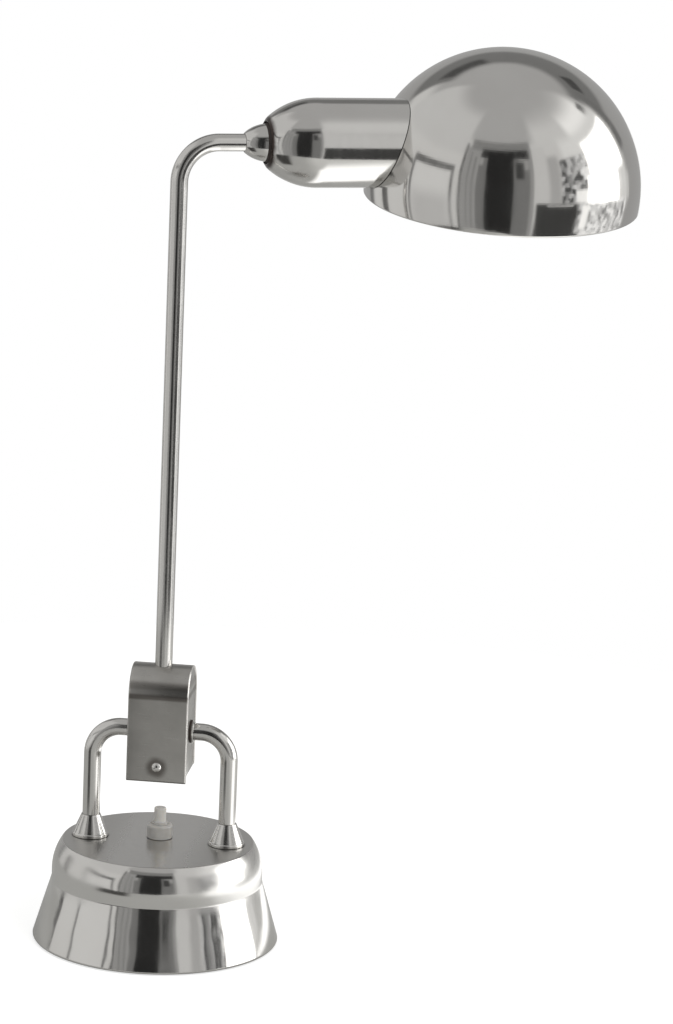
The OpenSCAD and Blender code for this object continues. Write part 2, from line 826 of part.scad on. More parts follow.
module bulb_glass() {
  color(opal_glass) at_arm() along_arm(bulb_a + bulb_cap_l) rotate_extrude() polygon(concat(
    bulb_outline(0),
    backwards(bulb_outline(bulb_wall))
  ));
}

// Head

// The ball that the shade is part of, in the head's frame
module shade_ball(r) {
  translate([shade_a, 0, -shade_drop]) sphere(r = r, $fn = 128);
}

module socket_housing() {
  color(chrome) at_head() difference() {
    along_arm() rotate_extrude() polygon(concat(
      [[pass_r, nose_a], [nose_r(nose_a + nose_round) - nose_round * 0.9, nose_a]],
      [for (i = [0:10]) let (a = nose_a + nose_round + (nose_l - nose_round) * i / 10) [nose_r(a), a]],
      [[housing_r, shade_a - shade_drop], [housing_r - housing_wall, shade_a - shade_drop]],
      [for (i = [10:-1:0]) let (a = nose_in_a + 0.5 + (nose_l - housing_wall - 0.5) * i / 10)
        [nose_r(a) - housing_wall, a]],
      [[nose_r(nose_a + nose_round) - 2.2, nose_in_a], [pass_r, nose_in_a]]
    ));
    shade_ball(shade_r + close_gap);
  }
}

// The sleeve that locates the shade on the housing
module port_collar() {
  color(zinc) at_head() difference() {
    along_arm(shade_a - shade_r - collar_back) ring(collar_in_r, collar_in_r - collar_wall, collar_l);
    shade_ball(shade_in_r - collar_reach);
  }
}

module shade() {
  color(chrome) at_head() difference() {
    shade_ball(shade_r);
    intersection() {
      shade_ball(shade_in_r);
      translate([shade_a - shade_r, -shade_r, shade_hem - shade_drop - shade_skirt]) cube(2 * shade_r);
    }
    shade_ball(shade_in_r - shade_wall);
    translate([shade_a - 2 * shade_r, -2 * shade_r, -4 * shade_r - shade_drop - shade_skirt]) cube(4 * shade_r);
    along_arm(shade_a - shade_r - collar_back) cylinder(r = collar_in_r + close_gap, h = collar_l);
  }
}

base_shell();
base_weight();
base_plate();
plate_screws();
felt_pad();
cord_grommet();
foot_left();
foot_right();
bail_left();
bail_right();
leg_washers();
leg_nuts();
base_lead();
pivot_washers();
pivot_nuts();
pivot_springs();
pivot_locknuts();
switch_body();
switch_ring_nut();
switch_spring();
switch_button();
bracket_cover();
bracket_frame();
swivel_block();
bracket_screw();
bracket_nut();
arm_tube();
arm_lead();
swivel_collar();
swivel_washer();
swivel_nut();
arm_bell();
head_gasket();
head_washer();
head_nut();
holder_cap();
holder_body();
holder_insert();
holder_thread();
holder_contact();
bulb_cap();
bulb_glass();
socket_housing();
port_collar();
shade();
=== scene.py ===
"""A chromed desk lamp on a pale floor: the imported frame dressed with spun, bent and folded pieces."""
from math import acos, asin, atan2, cos, degrees, hypot, pi, radians, sin, sqrt, tan

import bmesh
import bpy
from mathutils import Matrix, Vector


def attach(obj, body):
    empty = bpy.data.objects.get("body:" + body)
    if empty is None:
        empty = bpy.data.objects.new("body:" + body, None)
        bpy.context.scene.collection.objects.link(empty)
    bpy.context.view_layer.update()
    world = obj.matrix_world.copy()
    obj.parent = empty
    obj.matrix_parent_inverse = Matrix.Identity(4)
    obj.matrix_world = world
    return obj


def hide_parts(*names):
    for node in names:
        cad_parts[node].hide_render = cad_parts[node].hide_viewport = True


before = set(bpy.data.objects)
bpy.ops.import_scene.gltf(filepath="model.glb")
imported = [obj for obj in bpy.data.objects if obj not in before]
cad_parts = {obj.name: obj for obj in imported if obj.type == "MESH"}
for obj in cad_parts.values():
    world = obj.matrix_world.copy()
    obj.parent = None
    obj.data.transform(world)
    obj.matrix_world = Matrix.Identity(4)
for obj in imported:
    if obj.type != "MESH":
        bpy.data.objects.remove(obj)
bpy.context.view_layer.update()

# Sizes in millimetres, as the CAD has them, but for the nose's lip, which is only dressed on

TOP_Z = 59.0
TOP_R = 55.5
BASE_R = 71.5
HEM_TOP_Z = 1.7
HEM_Z = 0.7
HEM_W = 4.0
SHOULDER_R = 61.3
SHOULDER_ROUND = 30.0
WALL_H = 4.4
CREASE_R = 5.0
SHELL_WALL = 1.2
GROMMET_TURN = radians(17)
GROMMET_LIFT = radians(7.5)
GROMMET_OUT = 2.0
GROMMET_IN = 3.1
GROMMET_R = 4.0
GROMMET_NECK_R = 3.35
GROMMET_BORE_R = 2.8
GROMMET_HOLE_R = 3.4
FELT_R = 66.3
FELT_H = 1.5

RING_R = 7.4
RING_H = 9.5
RING_COLLAR_R = 4.7
BUTTON_R = 3.5
BUTTON_LOW_Z = 43.9
BUTTON_TOP_Z = 77.2
SWITCH_Y = 5.0

TUBE_R = 5.0
BORE_R = 4.0
FOOT_X = 40.0
FOOT_H = 13.0
FOOT_R = 10.6
LEG_END_Z = 36.3
PIVOT_Z = 125.5
BAIL_BEND = 16.5
BAIL_END_X = 9.0

BRACKET_W = 35.0
BEND_R = 16.5
BEND_Z = 148.0
FRONT_LEG_Z = 98.2
BACK_LEG_Z = 101.5
SHEET = 1.2
SCREW_Z = 107.0
SCREW_R = 1.5
SCREW_L = 7.0
SCREW_HEAD_R = 2.9
SCREW_HEAD_H = 1.6
CHEEK_X = 16.9
WASHER_X = 17.0
WASHER_R = 6.65
WASHER_T = 0.8
RING_NUT_R = 6.1
RING_NUT_T = 1.4

ARM_Z = 466.5
ARM_BEND = 22.5
ARM_TURN = radians(23)
HEAD_TURN = radians(7)
ROD_END_Z = 138.9
ARM_END = 67.1
BELL_A = 37.0
BELL_H = 11.6
BELL_R = 10.7
BELL_CURVE = 21.0
GASKET_T = 2.7
NOSE_A = 51.4
NOSE_L = 28.0
NOSE_CURVE = 43.0
LIP_R = 12.0
LIP_A = 49.6
HOUSING_R = 25.5
HOUSING_WALL = 1.0
SHADE_R = 80.0
SHADE_WALL = 0.8
SHADE_SKIRT = 8.5
SHADE_HEM = 3.0
SHADE_A = 192.5
SHADE_DROP = 25.4
PORT_R = 24.5
BULB_A = 88.5
BULB_CAP_L = 25.0
BULB_L = 105.0
BULB_R = 30.0
BULB_NECK_R = 12.3
BULB_FLARE = 70.0

# Places: the arm runs along local X, and a turned piece stands along local Z

ARM = Matrix.Translation((0, 0, ARM_Z)) @ Matrix.Rotation(ARM_TURN, 4, "Z")
HEAD = ARM @ Matrix.Rotation(HEAD_TURN, 4, "X")
LAID = Matrix.Rotation(pi / 2, 4, "Y")


def millimetres(place):
    """The placing matrix, with the step from millimetres to metres."""
    return Matrix.Scale(0.001, 4) @ place


def arc(middle, r, start, end, steps):
    """Points of an arc in degrees, first and last included."""
    turns = [radians(start + (end - start) * i / steps) for i in range(steps + 1)]
    return [(middle[0] + r * cos(t), middle[1] + r * sin(t)) for t in turns]


def braced(points, brace):
    """The open outline, with a point near both ends of each long straight to keep its shading flat."""
    held = []
    for here, there in zip(points, points[1:]):
        held.append(here)
        way = Vector(there) - Vector(here)
        if way.length > 4 * brace:
            step = way.normalized() * brace
            held.append(tuple(Vector(here) + step))
            held.append(tuple(Vector(there) - step))
    return held + points[-1:]


def finished(mesh, name, material, body, replaced, sharp=32):
    """Puts a bmesh on the stage as a piece that rides on its body and stands for its CAD nodes."""
    data = bpy.data.meshes.new(name)
    mesh.to_mesh(data)
    mesh.free()
    data.shade_smooth()
    data.set_sharp_from_angle(angle=radians(sharp))
    piece = bpy.data.objects.new(name, data)
    bpy.context.scene.collection.objects.link(piece)
    data.materials.append(material)
    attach(piece, body)
    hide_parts(*replaced)
    return piece


def turned(outline, place=Matrix(), steps=160, brace=0.2):
    """A bmesh turned from (radius, height) points in mm: from axis to axis, or else a closed ring."""
    ring = outline[0][0] > 0
    points = braced(outline + outline[:1] if ring else outline, brace)
    mesh = bmesh.new()
    side = [mesh.verts.new((r, 0, z)) for r, z in points]
    edges = [mesh.edges.new(pair) for pair in zip(side, side[1:])]
    bmesh.ops.spin(
        mesh, geom=side + edges, cent=(0, 0, 0), axis=(0, 0, 1), angle=2 * pi, steps=steps, use_merge=True
    )
    bmesh.ops.remove_doubles(mesh, verts=mesh.verts, dist=0.001)
    bmesh.ops.recalc_face_normals(mesh, faces=mesh.faces)
    bmesh.ops.transform(mesh, matrix=millimetres(place), verts=mesh.verts)
    return mesh


def run_on(mesh, edges, way):
    """Extrudes open loops along a straight, with a short length at both ends; returns the new loops."""
    brace = way.normalized() * 0.8
    for step in (brace, way - 2 * brace, brace):
        grown = bmesh.ops.extrude_edge_only(mesh, edges=edges)["geom"]
        edges = [g for g in grown if isinstance(g, bmesh.types.BMEdge)]
        verts = [g for g in grown if isinstance(g, bmesh.types.BMVert)]
        bmesh.ops.translate(mesh, vec=step, verts=verts)
    return edges


def bent_tube(low_z, axis_z, bend, end_x, place=Matrix(), steps=40):
    """A tube with its bore: up from low_z, round one bend, and out along +X to end_x."""
    mesh = bmesh.new()
    outer = bmesh.ops.create_circle(mesh, segments=72, radius=TUBE_R)["verts"]
    inner = bmesh.ops.create_circle(mesh, segments=72, radius=BORE_R)["verts"]
    bmesh.ops.translate(mesh, vec=(0, 0, low_z), verts=outer + inner)
    start = list(mesh.edges)
    edges = run_on(mesh, start, Vector((0, 0, axis_z - bend - low_z)))
    swept = bmesh.ops.spin(
        mesh,
        geom=edges + list({v for e in edges for v in e.verts}),
        cent=(bend, 0, axis_z - bend),
        axis=(0, 1, 0),
        angle=pi / 2,
        steps=steps,
    )["geom_last"]
    edges = [g for g in swept if isinstance(g, bmesh.types.BMEdge)]
    edges = run_on(mesh, edges, Vector((end_x - bend, 0, 0)))
    for ring in (start, edges):
        bmesh.ops.bridge_loops(mesh, edges=ring)
    bmesh.ops.recalc_face_normals(mesh, faces=mesh.faces)
    bmesh.ops.transform(mesh, matrix=millimetres(place), verts=mesh.verts)
    if place.determinant() < 0:
        bmesh.ops.reverse_faces(mesh, faces=mesh.faces)
    return mesh


def cut(piece, cutter):
    """Takes a bmesh cutter's space out of a piece, and leaves plain faces behind."""
    data = bpy.data.meshes.new("cutter")
    cutter.to_mesh(data)
    cutter.free()
    tool = bpy.data.objects.new("cutter", data)
    bpy.context.scene.collection.objects.link(tool)
    trim = piece.modifiers.new("trim", "BOOLEAN")
    trim.object = tool
    trim.solver = "EXACT"
    trimmed = bpy.data.meshes.new_from_object(piece.evaluated_get(bpy.context.evaluated_depsgraph_get()))
    piece.modifiers.clear()
    old = piece.data
    piece.data = trimmed
    trimmed.name = piece.name
    bpy.data.meshes.remove(old)
    bpy.data.objects.remove(tool)
    bpy.data.meshes.remove(data)
    trimmed.shade_smooth()
    trimmed.set_sharp_from_angle(angle=radians(32))


# Materials

# Settings that many nodes share
EASED = {"interpolation_type": "SMOOTHSTEP"}
OF_COLOURS = {"data_type": "RGBA"}


def colour(hex_code):
    """An sRGB hex colour as linear RGBA."""
    parts = [int(hex_code[i:i + 2], 16) / 255 for i in (1, 3, 5)]
    return [p / 12.92 if p <= 0.04045 else ((p + 0.055) / 1.055) ** 2.4 for p in parts] + [1.0]


def add(tree, kind, settings=None, inputs=None):
    """Adds a node, sets its properties, and fills or links its inputs by name or number."""
    node = tree.nodes.new(kind)
    for name, value in (settings or {}).items():
        setattr(node, name, value)
    for key, value in (inputs or {}).items():
        if isinstance(value, bpy.types.NodeSocket):
            tree.links.new(value, node.inputs[key])
        else:
            node.inputs[key].default_value = value
    return node


def material(name):
    """A new material, its tree, its principled shader and the piece's own coordinates."""
    new = bpy.data.materials.new(name)
    new.use_nodes = True
    tree = new.node_tree
    shader = tree.nodes["Principled BSDF"]
    where = add(tree, "ShaderNodeTexCoord").outputs["Object"]
    return new, tree, shader, where


def per_mm(size):
    """The scale of a pattern, in metres, whose marks are so many millimetres apart."""
    return 1000 / size


def grimed_and_shaded(tree, shader, tone, reach=1.6):
    """Darkens a tone in corners, creases and joints by ambient occlusion, painted shade along with grime
    that cloths don't reach, and lays it on (reach in millimetres).
    """
    corner_shade = add(tree, "ShaderNodeAmbientOcclusion", {"samples": 8}, {"Distance": reach / 1000})
    shade_depth = add(
        tree, "ShaderNodeMapRange", {}, {"Value": corner_shade.outputs["AO"], 1: 0.35, 2: 0.8, 3: 0.75, 4: 0.0}
    )
    # Painted shade with grime: the tone goes dark where the occlusion is deep
    dirt = add(tree, "ShaderNodeMix", OF_COLOURS, {0: shade_depth.outputs[0], 6: tone, 7: colour("#2e2926")})
    tree.links.new(dirt.outputs[2], shader.inputs["Base Color"])


def tarnished(tree, where, tone, origin, way, clean_r, worn_r, stain):
    """Lays a round stain about the axis through origin along way, full at worn_r and gone at clean_r."""
    off = add(tree, "ShaderNodeVectorMath", {"operation": "SUBTRACT"}, {0: where, 1: origin})
    side = add(
        tree, "ShaderNodeVectorMath", {"operation": "CROSS_PRODUCT"}, {0: off.outputs[0], 1: way}
    )
    r = add(tree, "ShaderNodeVectorMath", {"operation": "LENGTH"}, {0: side.outputs[0]})
    cloud = add(tree, "ShaderNodeTexNoise", {}, {"Vector": where, "Scale": per_mm(4), "Detail": 3.0})
    ragged = add(
        tree, "ShaderNodeMath", {"operation": "MULTIPLY_ADD"},
        {0: cloud.outputs[0], 1: 0.0016, 2: r.outputs["Value"]},
    )
    mask = add(
        tree, "ShaderNodeMapRange", EASED,
        {"Value": ragged.outputs[0], 1: clean_r / 1000, 2: worn_r / 1000, 3: 0.0, 4: stain[1]},
    )
    return add(
        tree, "ShaderNodeMix", OF_COLOURS, {0: mask.outputs[0], 6: tone, 7: colour(stain[0])}
    ).outputs[2]


def handled(tree, where, dull):
    """Dulls the base's shoulders at its two sides, where hands have lifted it."""
    place = add(tree, "ShaderNodeSeparateXYZ", {}, {0: where})
    aside = add(tree, "ShaderNodeMath", {"operation": "ABSOLUTE"}, {0: place.outputs["X"]})
    side = add(tree, "ShaderNodeMapRange", EASED, {"Value": aside.outputs[0], 1: 0.014, 2: 0.034})
    high = add(
        tree, "ShaderNodeMapRange", EASED,
        {"Value": place.outputs["Z"], 1: 0.03, 2: 0.036, 3: 0.0, 4: 0.13},
    )
    return add(
        tree, "ShaderNodeMath", {"operation": "MULTIPLY_ADD"},
        {0: side.outputs[0], 1: high.outputs[0], 2: dull},
    ).outputs[0]


def mirror_chrome(name, wave, rough, brushed_top=False, nose=False):
    """Chrome plate on buffed steel: a cool mirror hazed by cloths, its sheet a little wavy (wave in mm)."""
    new, tree, shader, where = material(name)
    haze = add(tree, "ShaderNodeTexNoise", {}, {"Vector": where, "Scale": per_mm(28), "Detail": 4.0})
    wipe = add(tree, "ShaderNodeMapping", {}, {"Vector": where, "Scale": (1.0, 1.0, 0.12)})
    streaks = add(
        tree, "ShaderNodeTexNoise", {}, {"Vector": wipe.outputs[0], "Scale": per_mm(3), "Detail": 3.0}
    )
    both = add(
        tree, "ShaderNodeMath", {"operation": "MULTIPLY"}, {0: haze.outputs[0], 1: streaks.outputs[0]}
    )
    dull = add(
        tree, "ShaderNodeMapRange", {},
        {"Value": both.outputs[0], 1: 0.15, 2: 0.4, 3: 0.75 * rough, 4: 1.25 * rough},
    ).outputs[0]
    relief = 1.0
    if brushed_top:
        up = add(tree, "ShaderNodeSeparateXYZ", {}, {0: where}).outputs["Z"]
        top = add(
            tree, "ShaderNodeMapRange", {},
            {"Value": up, 1: TOP_Z / 1000 - 0.0003, 2: TOP_Z / 1000 - 0.0001},
        )
        dull = add(
            tree, "ShaderNodeMath", {"operation": "MULTIPLY_ADD"}, {0: top.outputs[0], 1: 0.13, 2: dull}
        ).outputs[0]
        dull = handled(tree, where, dull)
        relief = add(
            tree, "ShaderNodeMath", {"operation": "SUBTRACT"}, {0: 1.0, 1: top.outputs[0]}
        ).outputs[0]
    tone = add(tree, "ShaderNodeValToRGB", {}, {"Fac": haze.outputs[0]})
    tone.color_ramp.elements[0].color = colour("#cfcdca")
    tone.color_ramp.elements[1].color = colour("#dad9d6")
    tone = tone.outputs[0]
    if nose:
        tone = tarnished(
            tree, where, tone, ARM.translation / 1000, ARM.to_3x3() @ Vector((1, 0, 0)),
            17.0, 14.4, ("#362c28", 0.97),
        )
    # Painted shade and grime in the corners and joints
    grimed_and_shaded(tree, shader, tone)
    swell = add(tree, "ShaderNodeTexNoise", {}, {"Vector": where, "Scale": per_mm(22), "Detail": 1.0})
    bump = add(
        tree, "ShaderNodeBump", {},
        {"Height": swell.outputs[0], "Strength": relief, "Distance": wave / 1000},
    )
    tree.links.new(dull, shader.inputs["Roughness"])
    tree.links.new(bump.outputs[0], shader.inputs["Normal"])
    shader.inputs["Metallic"].default_value = 1.0
    return new


def satin_steel():
    """Pressed steel strip with a dull brushed plate: grey, with fine lines across it and old stains, two
    dark bands across its bend that are a painted reflection, and a painted highlight along its side edges.
    """
    new, tree, shader, where = material("brushed_dull_nickel")
    # Real brush lines are a fifth as wide, and are drawn as coarse as they need to show
    grain = add(tree, "ShaderNodeMapping", {}, {"Vector": where, "Scale": (0.04, 1.0, 1.0)})
    lines = add(
        tree, "ShaderNodeTexNoise", {}, {"Vector": grain.outputs[0], "Scale": per_mm(0.5), "Detail": 3.0}
    )
    stains = add(tree, "ShaderNodeTexNoise", {}, {"Vector": where, "Scale": per_mm(14), "Detail": 4.0})
    tone = add(tree, "ShaderNodeValToRGB", {}, {"Fac": stains.outputs[0]})
    tone.color_ramp.elements[0].position = 0.35
    tone.color_ramp.elements[0].color = colour("#b2b0ac")
    tone.color_ramp.elements[1].position = 0.7
    tone.color_ramp.elements[1].color = colour("#bfbdb9")
    place = add(tree, "ShaderNodeSeparateXYZ", {}, {0: where})
    tone = tarnished(
        tree, where, tone.outputs[0], (0, 0, SCREW_Z / 1000), (0, 1, 0), 8.5, 4.5, ("#5d5752", 0.75)
    )
    # Painted reflection: two dark bands across the round bend
    for low, high, strength in ((146.2, 150.8, 0.62), (151.8, 158.0, 0.36)):
        middle = (low + high) / 2000
        off = add(tree, "ShaderNodeMath", {"operation": "SUBTRACT"}, {0: place.outputs["Z"], 1: middle})
        off = add(tree, "ShaderNodeMath", {"operation": "ABSOLUTE"}, {0: off.outputs[0]})
        mask = add(
            tree, "ShaderNodeMapRange", EASED,
            {"Value": off.outputs[0], 1: (high - low) / 2000, 2: (high - low) / 6000, 3: 0.0, 4: strength},
        )
        tone = add(
            tree, "ShaderNodeMix", OF_COLOURS, {0: mask.outputs[0], 6: tone, 7: colour("#4f4640")}
        ).outputs[2]
    side = add(tree, "ShaderNodeMath", {"operation": "ABSOLUTE"}, {0: place.outputs["X"]})
    # Painted highlight: a light line along both side edges of the strip
    cheek = CHEEK_X / 1000
    rim = add(
        tree, "ShaderNodeMapRange", {},
        {"Value": side.outputs[0], 1: cheek + 0.00005, 2: cheek + 0.00025, 3: 0.0, 4: 0.8},
    )
    tone = add(tree, "ShaderNodeMix", OF_COLOURS, {0: rim.outputs[0], 6: tone, 7: colour("#f2f0ec")})
    rough = add(
        tree, "ShaderNodeMapRange", {}, {"Value": lines.outputs[0], 1: 0.3, 2: 0.7, 3: 0.27, 4: 0.32}
    )
    bump = add(
        tree, "ShaderNodeBump", {}, {"Height": lines.outputs[0], "Strength": 0.15, "Distance": 0.00001}
    )
    edge = add(
        tree, "ShaderNodeMapRange", EASED,
        {"Value": side.outputs[0], 1: BRACKET_W / 2000 - 0.001, 2: BRACKET_W / 2000, 3: 1.0, 4: 0.0},
    )
    foot = add(
        tree, "ShaderNodeMapRange", EASED,
        {"Value": place.outputs["Z"], 1: FRONT_LEG_Z / 1000, 2: FRONT_LEG_Z / 1000 + 0.001},
    )
    eased = add(
        tree, "ShaderNodeMath", {"operation": "MULTIPLY"}, {0: edge.outputs[0], 1: foot.outputs[0]}
    )
    bump = add(
        tree, "ShaderNodeBump", {},
        {"Height": eased.outputs[0], "Strength": 1.0, "Distance": 0.0006, "Normal": bump.outputs[0]},
    )
    # Painted shade and grime in the corners and joints
    grimed_and_shaded(tree, shader, tone.outputs[2])
    tree.links.new(rough.outputs[0], shader.inputs["Roughness"])
    tree.links.new(bump.outputs[0], shader.inputs["Normal"])
    shader.inputs["Metallic"].default_value = 1.0
    return new


def plain_metal(name, dark, light, rough_low, rough_high, mottle, relief):
    """A metal with mottled tone and roughness, the mottle's size and relief in millimetres."""
    new, tree, shader, where = material(name)
    spots = add(
        tree, "ShaderNodeTexNoise", {}, {"Vector": where, "Scale": per_mm(mottle), "Detail": 5.0}
    )
    tone = add(tree, "ShaderNodeValToRGB", {}, {"Fac": spots.outputs[0]})
    tone.color_ramp.elements[0].position = 0.3
    tone.color_ramp.elements[0].color = colour(dark)
    tone.color_ramp.elements[1].position = 0.7
    tone.color_ramp.elements[1].color = colour(light)
    rough = add(
        tree, "ShaderNodeMapRange", {},
        {"Value": spots.outputs[0], 1: 0.3, 2: 0.7, 3: rough_low, 4: rough_high},
    )
    bump = add(
        tree, "ShaderNodeBump", {},
        {"Height": spots.outputs[0], "Strength": 1.0, "Distance": relief / 1000},
    )
    tree.links.new(tone.outputs[0], shader.inputs["Base Color"])
    tree.links.new(rough.outputs[0], shader.inputs["Roughness"])
    tree.links.new(bump.outputs[0], shader.inputs["Normal"])
    shader.inputs["Metallic"].default_value = 1.0
    return new


def moulded(name, dark, light, rough_low, rough_high, mottle, relief, ior=1.5):
    """A moulded, fired or pressed stuff that isn't metal, mottled as plain_metal is."""
    new = plain_metal(name, dark, light, rough_low, rough_high, mottle, relief)
    shader = new.node_tree.nodes["Principled BSDF"]
    shader.inputs["Metallic"].default_value = 0.0
    shader.inputs["IOR"].default_value = ior
    return new


def felt():
    """Pressed wool felt: matt, with short fibres that lie every way, drawn coarse enough to show."""
    new = moulded("pressed_wool_felt", "#27392d", "#3d5445", 0.9, 1.0, 1.2, 0.25)
    shader = new.node_tree.nodes["Principled BSDF"]
    shader.inputs["Sheen Weight"].default_value = 0.4
    return new


def warm_plastic(name, dark, light):
    """Moulded urea plastic, once white: slightly yellowed, soft in the light, with a worn gloss."""
    new = moulded(name, dark, light, 0.28, 0.42, 6, 0.01)
    shader = new.node_tree.nodes["Principled BSDF"]
    shader.inputs["Subsurface Weight"].default_value = 0.35
    shader.inputs["Subsurface Radius"].default_value = (0.0025, 0.002, 0.0014)
    shader.inputs["Subsurface Scale"].default_value = 1.0
    return new


def opal_glass():
    """Opal lamp glass: a milky white skin under a clear gloss."""
    new = moulded("opal_bulb_glass", "#eceae4", "#f4f2ee", 0.1, 0.16, 12, 0.002)
    shader = new.node_tree.nodes["Principled BSDF"]
    shader.inputs["Subsurface Weight"].default_value = 0.5
    shader.inputs["Subsurface Radius"].default_value = (0.006, 0.006, 0.005)
    return new


# Plated tube, buffed along: a mirror with soft edges to its streaks
chrome = mirror_chrome("buffed_chrome_tube", 0.03, 0.15)
# Spun sheet that stands on tables: the most handled, wavy, its flat top brushed dull
base_chrome = mirror_chrome("worn_chrome_base", 0.35, 0.1, True)
# Spun sheet seldom touched: the clearest mirror of the lamp
shade_chrome = mirror_chrome("polished_chrome_shade", 0.1, 0.1)
# Spun sheet, buffed, with brown stain in the hollow round its nose
housing_chrome = mirror_chrome("buffed_chrome_housing", 0.05, 0.13, nose=True)
# Turned on a lathe: even, a little duller than the sheet
foot_chrome = mirror_chrome("turned_chrome_foot", 0.02, 0.16)
steel = satin_steel()
# Rough from the sand mould: dark and matt, its grain drawn coarse enough to show
iron = plain_metal("cast_iron", "#3b3835", "#57534e", 0.6, 0.8, 1.5, 0.12)
# Thin plate on turned and pressed steel: light grey with a half gloss
zinc = plain_metal("zinc_plated_steel", "#9c9d9b", "#b7b8b4", 0.25, 0.45, 3, 0.01)
# Drawn and pressed: warm yellow, fairly bright
brass = plain_metal("drawn_brass", "#b08d4c", "#cbab68", 0.2, 0.4, 4, 0.01)
# Pressed thin: pale and evenly bright
cap_metal = plain_metal("lamp_cap_aluminium", "#b4b4b2", "#cbcbc9", 0.25, 0.4, 3, 0.01)
wool = felt()
# Moulded, with talc left in its skin: nearly black and dull
rubber = moulded("black_rubber", "#161514", "#242322", 0.55, 0.75, 2, 0.03)
# Pressed sheet, punched: dark brown and dry
fibre = moulded("brown_vulcanised_fibre", "#2a211d", "#3c312c", 0.5, 0.7, 1.5, 0.03)
# Moulded hot in steel: black with a worn gloss
bakelite = moulded("black_phenolic", "#141211", "#221e1c", 0.25, 0.4, 5, 0.01)
# Fired with its glaze: creamy white under a wet gloss
porcelain = moulded("glazed_porcelain", "#e9e6dd", "#f3f0e9", 0.12, 0.25, 4, 0.02)
# The button is wiped by fingers, and the ring under it keeps its dirt
urea = warm_plastic("aged_white_urea_plastic", "#cbc9c4", "#d6d4d0")
ring_urea = warm_plastic("aged_grey_urea_plastic", "#a9a7a3", "#b9b7b3")
opal = opal_glass()

NODE_MATERIALS = {
    iron: ("base_weight",),
    zinc: (
        "base_plate", "plate_screws", "leg_washers", "leg_nuts", "pivot_springs", "pivot_locknuts",
        "switch_spring", "bracket_nut", "swivel_block", "swivel_collar", "swivel_nut", "head_nut",
        "port_collar",
    ),
    rubber: ("base_lead", "arm_lead"),
    fibre: ("pivot_washers", "swivel_washer", "head_washer"),
    urea: ("switch_body",),
    bakelite: ("holder_cap", "holder_body"),
    porcelain: ("holder_insert",),
    brass: ("holder_thread", "holder_contact"),
    cap_metal: ("bulb_cap",),
}
for stuff, names in NODE_MATERIALS.items():
    for name in names:
        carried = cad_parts[name]
        carried.data.materials.clear()
        carried.data.materials.append(stuff)

# Base

shoulder_span = acos(1 - (SHOULDER_R - TOP_R) / SHOULDER_ROUND)
wall_top_z = TOP_Z - SHOULDER_ROUND * sin(shoulder_span)
crease = Vector((SHOULDER_R + CREASE_R, wall_top_z - WALL_H))
flare_way = crease - Vector((BASE_R, HEM_TOP_Z))
flare = atan2(flare_way.y, flare_way.x) + asin(CREASE_R / flare_way.length) - pi / 2


# Radii at which the flat top is parted, to keep its shading even
TOP_RINGS = (0, 11, 22, 33, 44, 52)


def base_outline(inset, low_z):
    """The base's side from the middle of its top down to low_z, moved in by inset."""
    curve = SHOULDER_ROUND - inset
    top_edge = degrees(asin((TOP_Z - inset - wall_top_z) / curve))
    side = [(r, TOP_Z - inset) for r in TOP_RINGS]
    side += arc((SHOULDER_R - SHOULDER_ROUND, wall_top_z), curve, top_edge, 0, 24)
    side += arc(crease, CREASE_R + inset, 180, 180 + degrees(flare), 10)
    side.append((BASE_R - (low_z - HEM_TOP_Z) * tan(flare) - inset / cos(flare), low_z))
    return side


hem = arc((BASE_R - 1, HEM_Z + 1), 1, 0, -90, 6)
hem += [(BASE_R - HEM_W, HEM_Z), (BASE_R - HEM_W, HEM_Z + SHELL_WALL)]
inside = base_outline(SHELL_WALL, HEM_Z + SHELL_WALL)[::-1]
pressed = turned(base_outline(0, HEM_TOP_Z) + hem + inside, steps=240, brace=0.6)
on_top_edge = {
    v for v in pressed.verts
    if abs(v.co.z * 1000 - TOP_Z) < 0.01 and abs(hypot(v.co.x, v.co.y) * 1000 - TOP_R) < 0.01
}
top_edge = [e for e in pressed.edges if all(v in on_top_edge for v in e.verts)]
bmesh.ops.bevel(
    pressed, geom=top_edge, offset=0.0005, segments=4, profile=0.5, affect="EDGES", material=-1
)
shell = finished(pressed, "base_shell_spun", base_chrome, "base", ["base_shell"], 25)
grommet_r = SHOULDER_R - SHOULDER_ROUND * (1 - cos(GROMMET_LIFT))
grommet_z = wall_top_z + SHOULDER_ROUND * sin(GROMMET_LIFT)
GROMMET = Matrix.Rotation(-GROMMET_TURN, 4, "Z") @ Matrix.Translation((-grommet_r, 0, grommet_z))
GROMMET = GROMMET @ Matrix.Rotation(GROMMET_LIFT - pi / 2, 4, "Y")
hole_side = [(0, -8), (GROMMET_HOLE_R, -8), (GROMMET_HOLE_R, 4), (0, 4)]
cut(shell, turned(hole_side, GROMMET, 48))

felt_side = [(0, 0), (FELT_R - 0.3, 0)]
felt_side += arc((FELT_R - 0.4, FELT_H / 2), 0.4, -60, 60, 4)
felt_side += [(FELT_R - 0.5, FELT_H), (0, FELT_H)]
finished(turned(felt_side, steps=96), "felt_sole", wool, "base", ["felt_pad"])

grommet_side = [(GROMMET_BORE_R, -GROMMET_IN), (GROMMET_R, -GROMMET_IN), (GROMMET_R, -SHELL_WALL - 0.5)]
grommet_side += [(GROMMET_NECK_R, -SHELL_WALL - 0.4), (GROMMET_NECK_R, 0)]
grommet_side += arc((GROMMET_R - 0.5, 0.6), 0.5, -90, 0, 5)
grommet_side += arc((GROMMET_R - 0.8, GROMMET_OUT - 0.8), 0.8, 0, 90, 8)
grommet_side.append((GROMMET_BORE_R, GROMMET_OUT))
finished(
    turned(grommet_side, GROMMET, 64),
    "cord_grommet_moulded", rubber, "base", ["cord_grommet"],
)

# Switch

